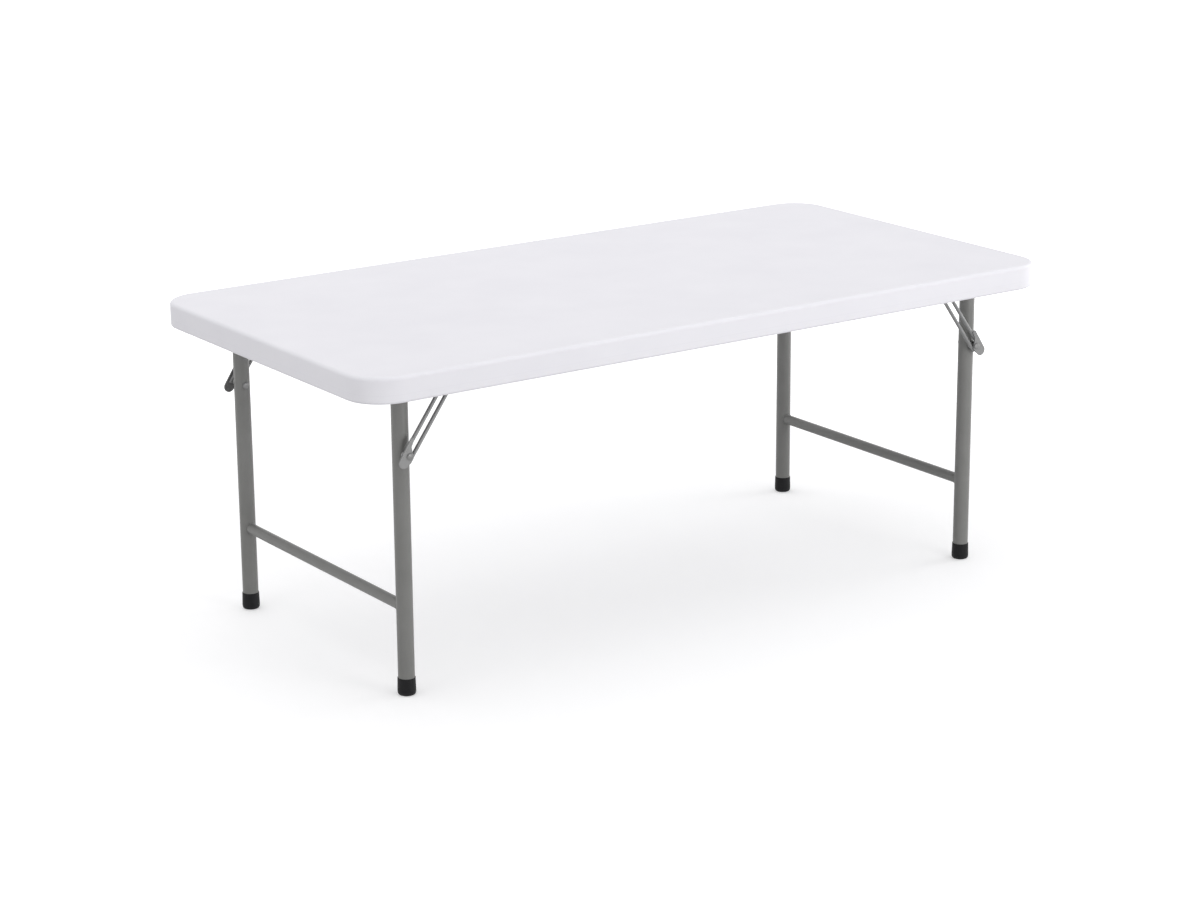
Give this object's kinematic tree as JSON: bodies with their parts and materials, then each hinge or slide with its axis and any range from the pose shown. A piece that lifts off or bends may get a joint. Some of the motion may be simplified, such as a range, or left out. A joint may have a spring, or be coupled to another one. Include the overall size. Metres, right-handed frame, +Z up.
{
  "type": "kids folding table",
  "caption": "Low rectangular folding table for children: hollow moulded plastic top on fold-flat steel leg frames held open by diagonal sliding braces.",
  "frame": {"origin": "on the floor, under the middle of the top", "axes": "+X along the table length, +Y towards the far long side, +Z up"},
  "size_m": [1.2192, 0.6096, 0.4826],
  "materials": {
    "top_plastic": "satin, fine grain",
    "frame_paint": "satin grey powder coat",
    "brace_steel": "satin grey paint",
    "cap_plastic": "matt black",
    "saddle_plastic": "matt black",
    "fastener_steel": "bright zinc"
  },
  "bodies": {
    "tabletop": {"tabletop": "top_plastic", "hinge_saddle_left_near": "saddle_plastic", "saddle_screw_outer_left_near": "fastener_steel", "saddle_screw_inner_left_near": "fastener_steel", "guide_plate_left_near": "frame_paint", "guide_screw_outer_left_near": "fastener_steel", "guide_screw_inner_left_near": "fastener_steel", "hinge_saddle_left_far": "saddle_plastic", "saddle_screw_outer_left_far": "fastener_steel", "saddle_screw_inner_left_far": "fastener_steel", "guide_plate_left_far": "frame_paint", "guide_screw_outer_left_far": "fastener_steel", "guide_screw_inner_left_far": "fastener_steel", "hinge_saddle_right_near": "saddle_plastic", "saddle_screw_outer_right_near": "fastener_steel", "saddle_screw_inner_right_near": "fastener_steel", "guide_plate_right_near": "frame_paint", "guide_screw_outer_right_near": "fastener_steel", "guide_screw_inner_right_near": "fastener_steel", "hinge_saddle_right_far": "saddle_plastic", "saddle_screw_outer_right_far": "fastener_steel", "saddle_screw_inner_right_far": "fastener_steel", "guide_plate_right_far": "frame_paint", "guide_screw_outer_right_far": "fastener_steel", "guide_screw_inner_right_far": "fastener_steel"},
    "left_leg_frame": {"hinge_tube_left": "frame_paint", "crossbar_left": "frame_paint", "leg_left_near": "frame_paint", "foot_cap_left_near": "cap_plastic", "brace_spacer_left_near": "fastener_steel", "brace_rivet_left_near": "brace_steel", "leg_left_far": "frame_paint", "foot_cap_left_far": "cap_plastic", "brace_spacer_left_far": "fastener_steel", "brace_rivet_left_far": "brace_steel"},
    "right_leg_frame": {"hinge_tube_right": "frame_paint", "crossbar_right": "frame_paint", "leg_right_near": "frame_paint", "foot_cap_right_near": "cap_plastic", "brace_spacer_right_near": "fastener_steel", "brace_rivet_right_near": "brace_steel", "leg_right_far": "frame_paint", "foot_cap_right_far": "cap_plastic", "brace_spacer_right_far": "fastener_steel", "brace_rivet_right_far": "brace_steel"},
    "left_near_brace": {"brace_rod_left_near": "brace_steel", "latch_plate_left_near": "brace_steel", "guide_pin_left_near": "fastener_steel"},
    "left_far_brace": {"brace_rod_left_far": "brace_steel", "latch_plate_left_far": "brace_steel", "guide_pin_left_far": "fastener_steel"},
    "right_near_brace": {"brace_rod_right_near": "brace_steel", "latch_plate_right_near": "brace_steel", "guide_pin_right_near": "fastener_steel"},
    "right_far_brace": {"brace_rod_right_far": "brace_steel", "latch_plate_right_far": "brace_steel", "guide_pin_right_far": "fastener_steel"}
  },
  "joints": [
    {"name": "left_frame_fold", "type": "hinge", "parent": "tabletop", "child": "left_leg_frame", "pos_m": [-0.5146, 0, 0.44785], "axis": [0, -1, 0], "range_deg": [0, 90]},
    {"name": "left_near_brace_pivot", "type": "hinge", "parent": "left_leg_frame", "child": "left_near_brace", "pos_m": [-0.5146, -0.2268, 0.352], "axis": [0, -1, 0], "range_deg": [-141.41, 0]},
    {"name": "left_far_brace_pivot", "type": "hinge", "parent": "left_leg_frame", "child": "left_far_brace", "pos_m": [-0.5146, 0.2268, 0.352], "axis": [0, -1, 0], "range_deg": [-141.41, 0]},
    {"name": "right_frame_fold", "type": "hinge", "parent": "tabletop", "child": "right_leg_frame", "pos_m": [0.5146, 0, 0.44785], "axis": [0, 1, 0], "range_deg": [0, 90]},
    {"name": "right_near_brace_pivot", "type": "hinge", "parent": "right_leg_frame", "child": "right_near_brace", "pos_m": [0.5146, -0.2268, 0.352], "axis": [0, 1, 0], "range_deg": [-141.41, 0]},
    {"name": "right_far_brace_pivot", "type": "hinge", "parent": "right_leg_frame", "child": "right_far_brace", "pos_m": [0.5146, 0.2268, 0.352], "axis": [0, 1, 0], "range_deg": [-141.41, 0]}
  ],
  "couplings": [
    {"joint": "left_near_brace_pivot", "follows": "left_frame_fold", "ratio": -1.5711},
    {"joint": "left_far_brace_pivot", "follows": "left_frame_fold", "ratio": -1.5711},
    {"joint": "right_near_brace_pivot", "follows": "right_frame_fold", "ratio": -1.5711},
    {"joint": "right_far_brace_pivot", "follows": "right_frame_fold", "ratio": -1.5711}
  ]
}
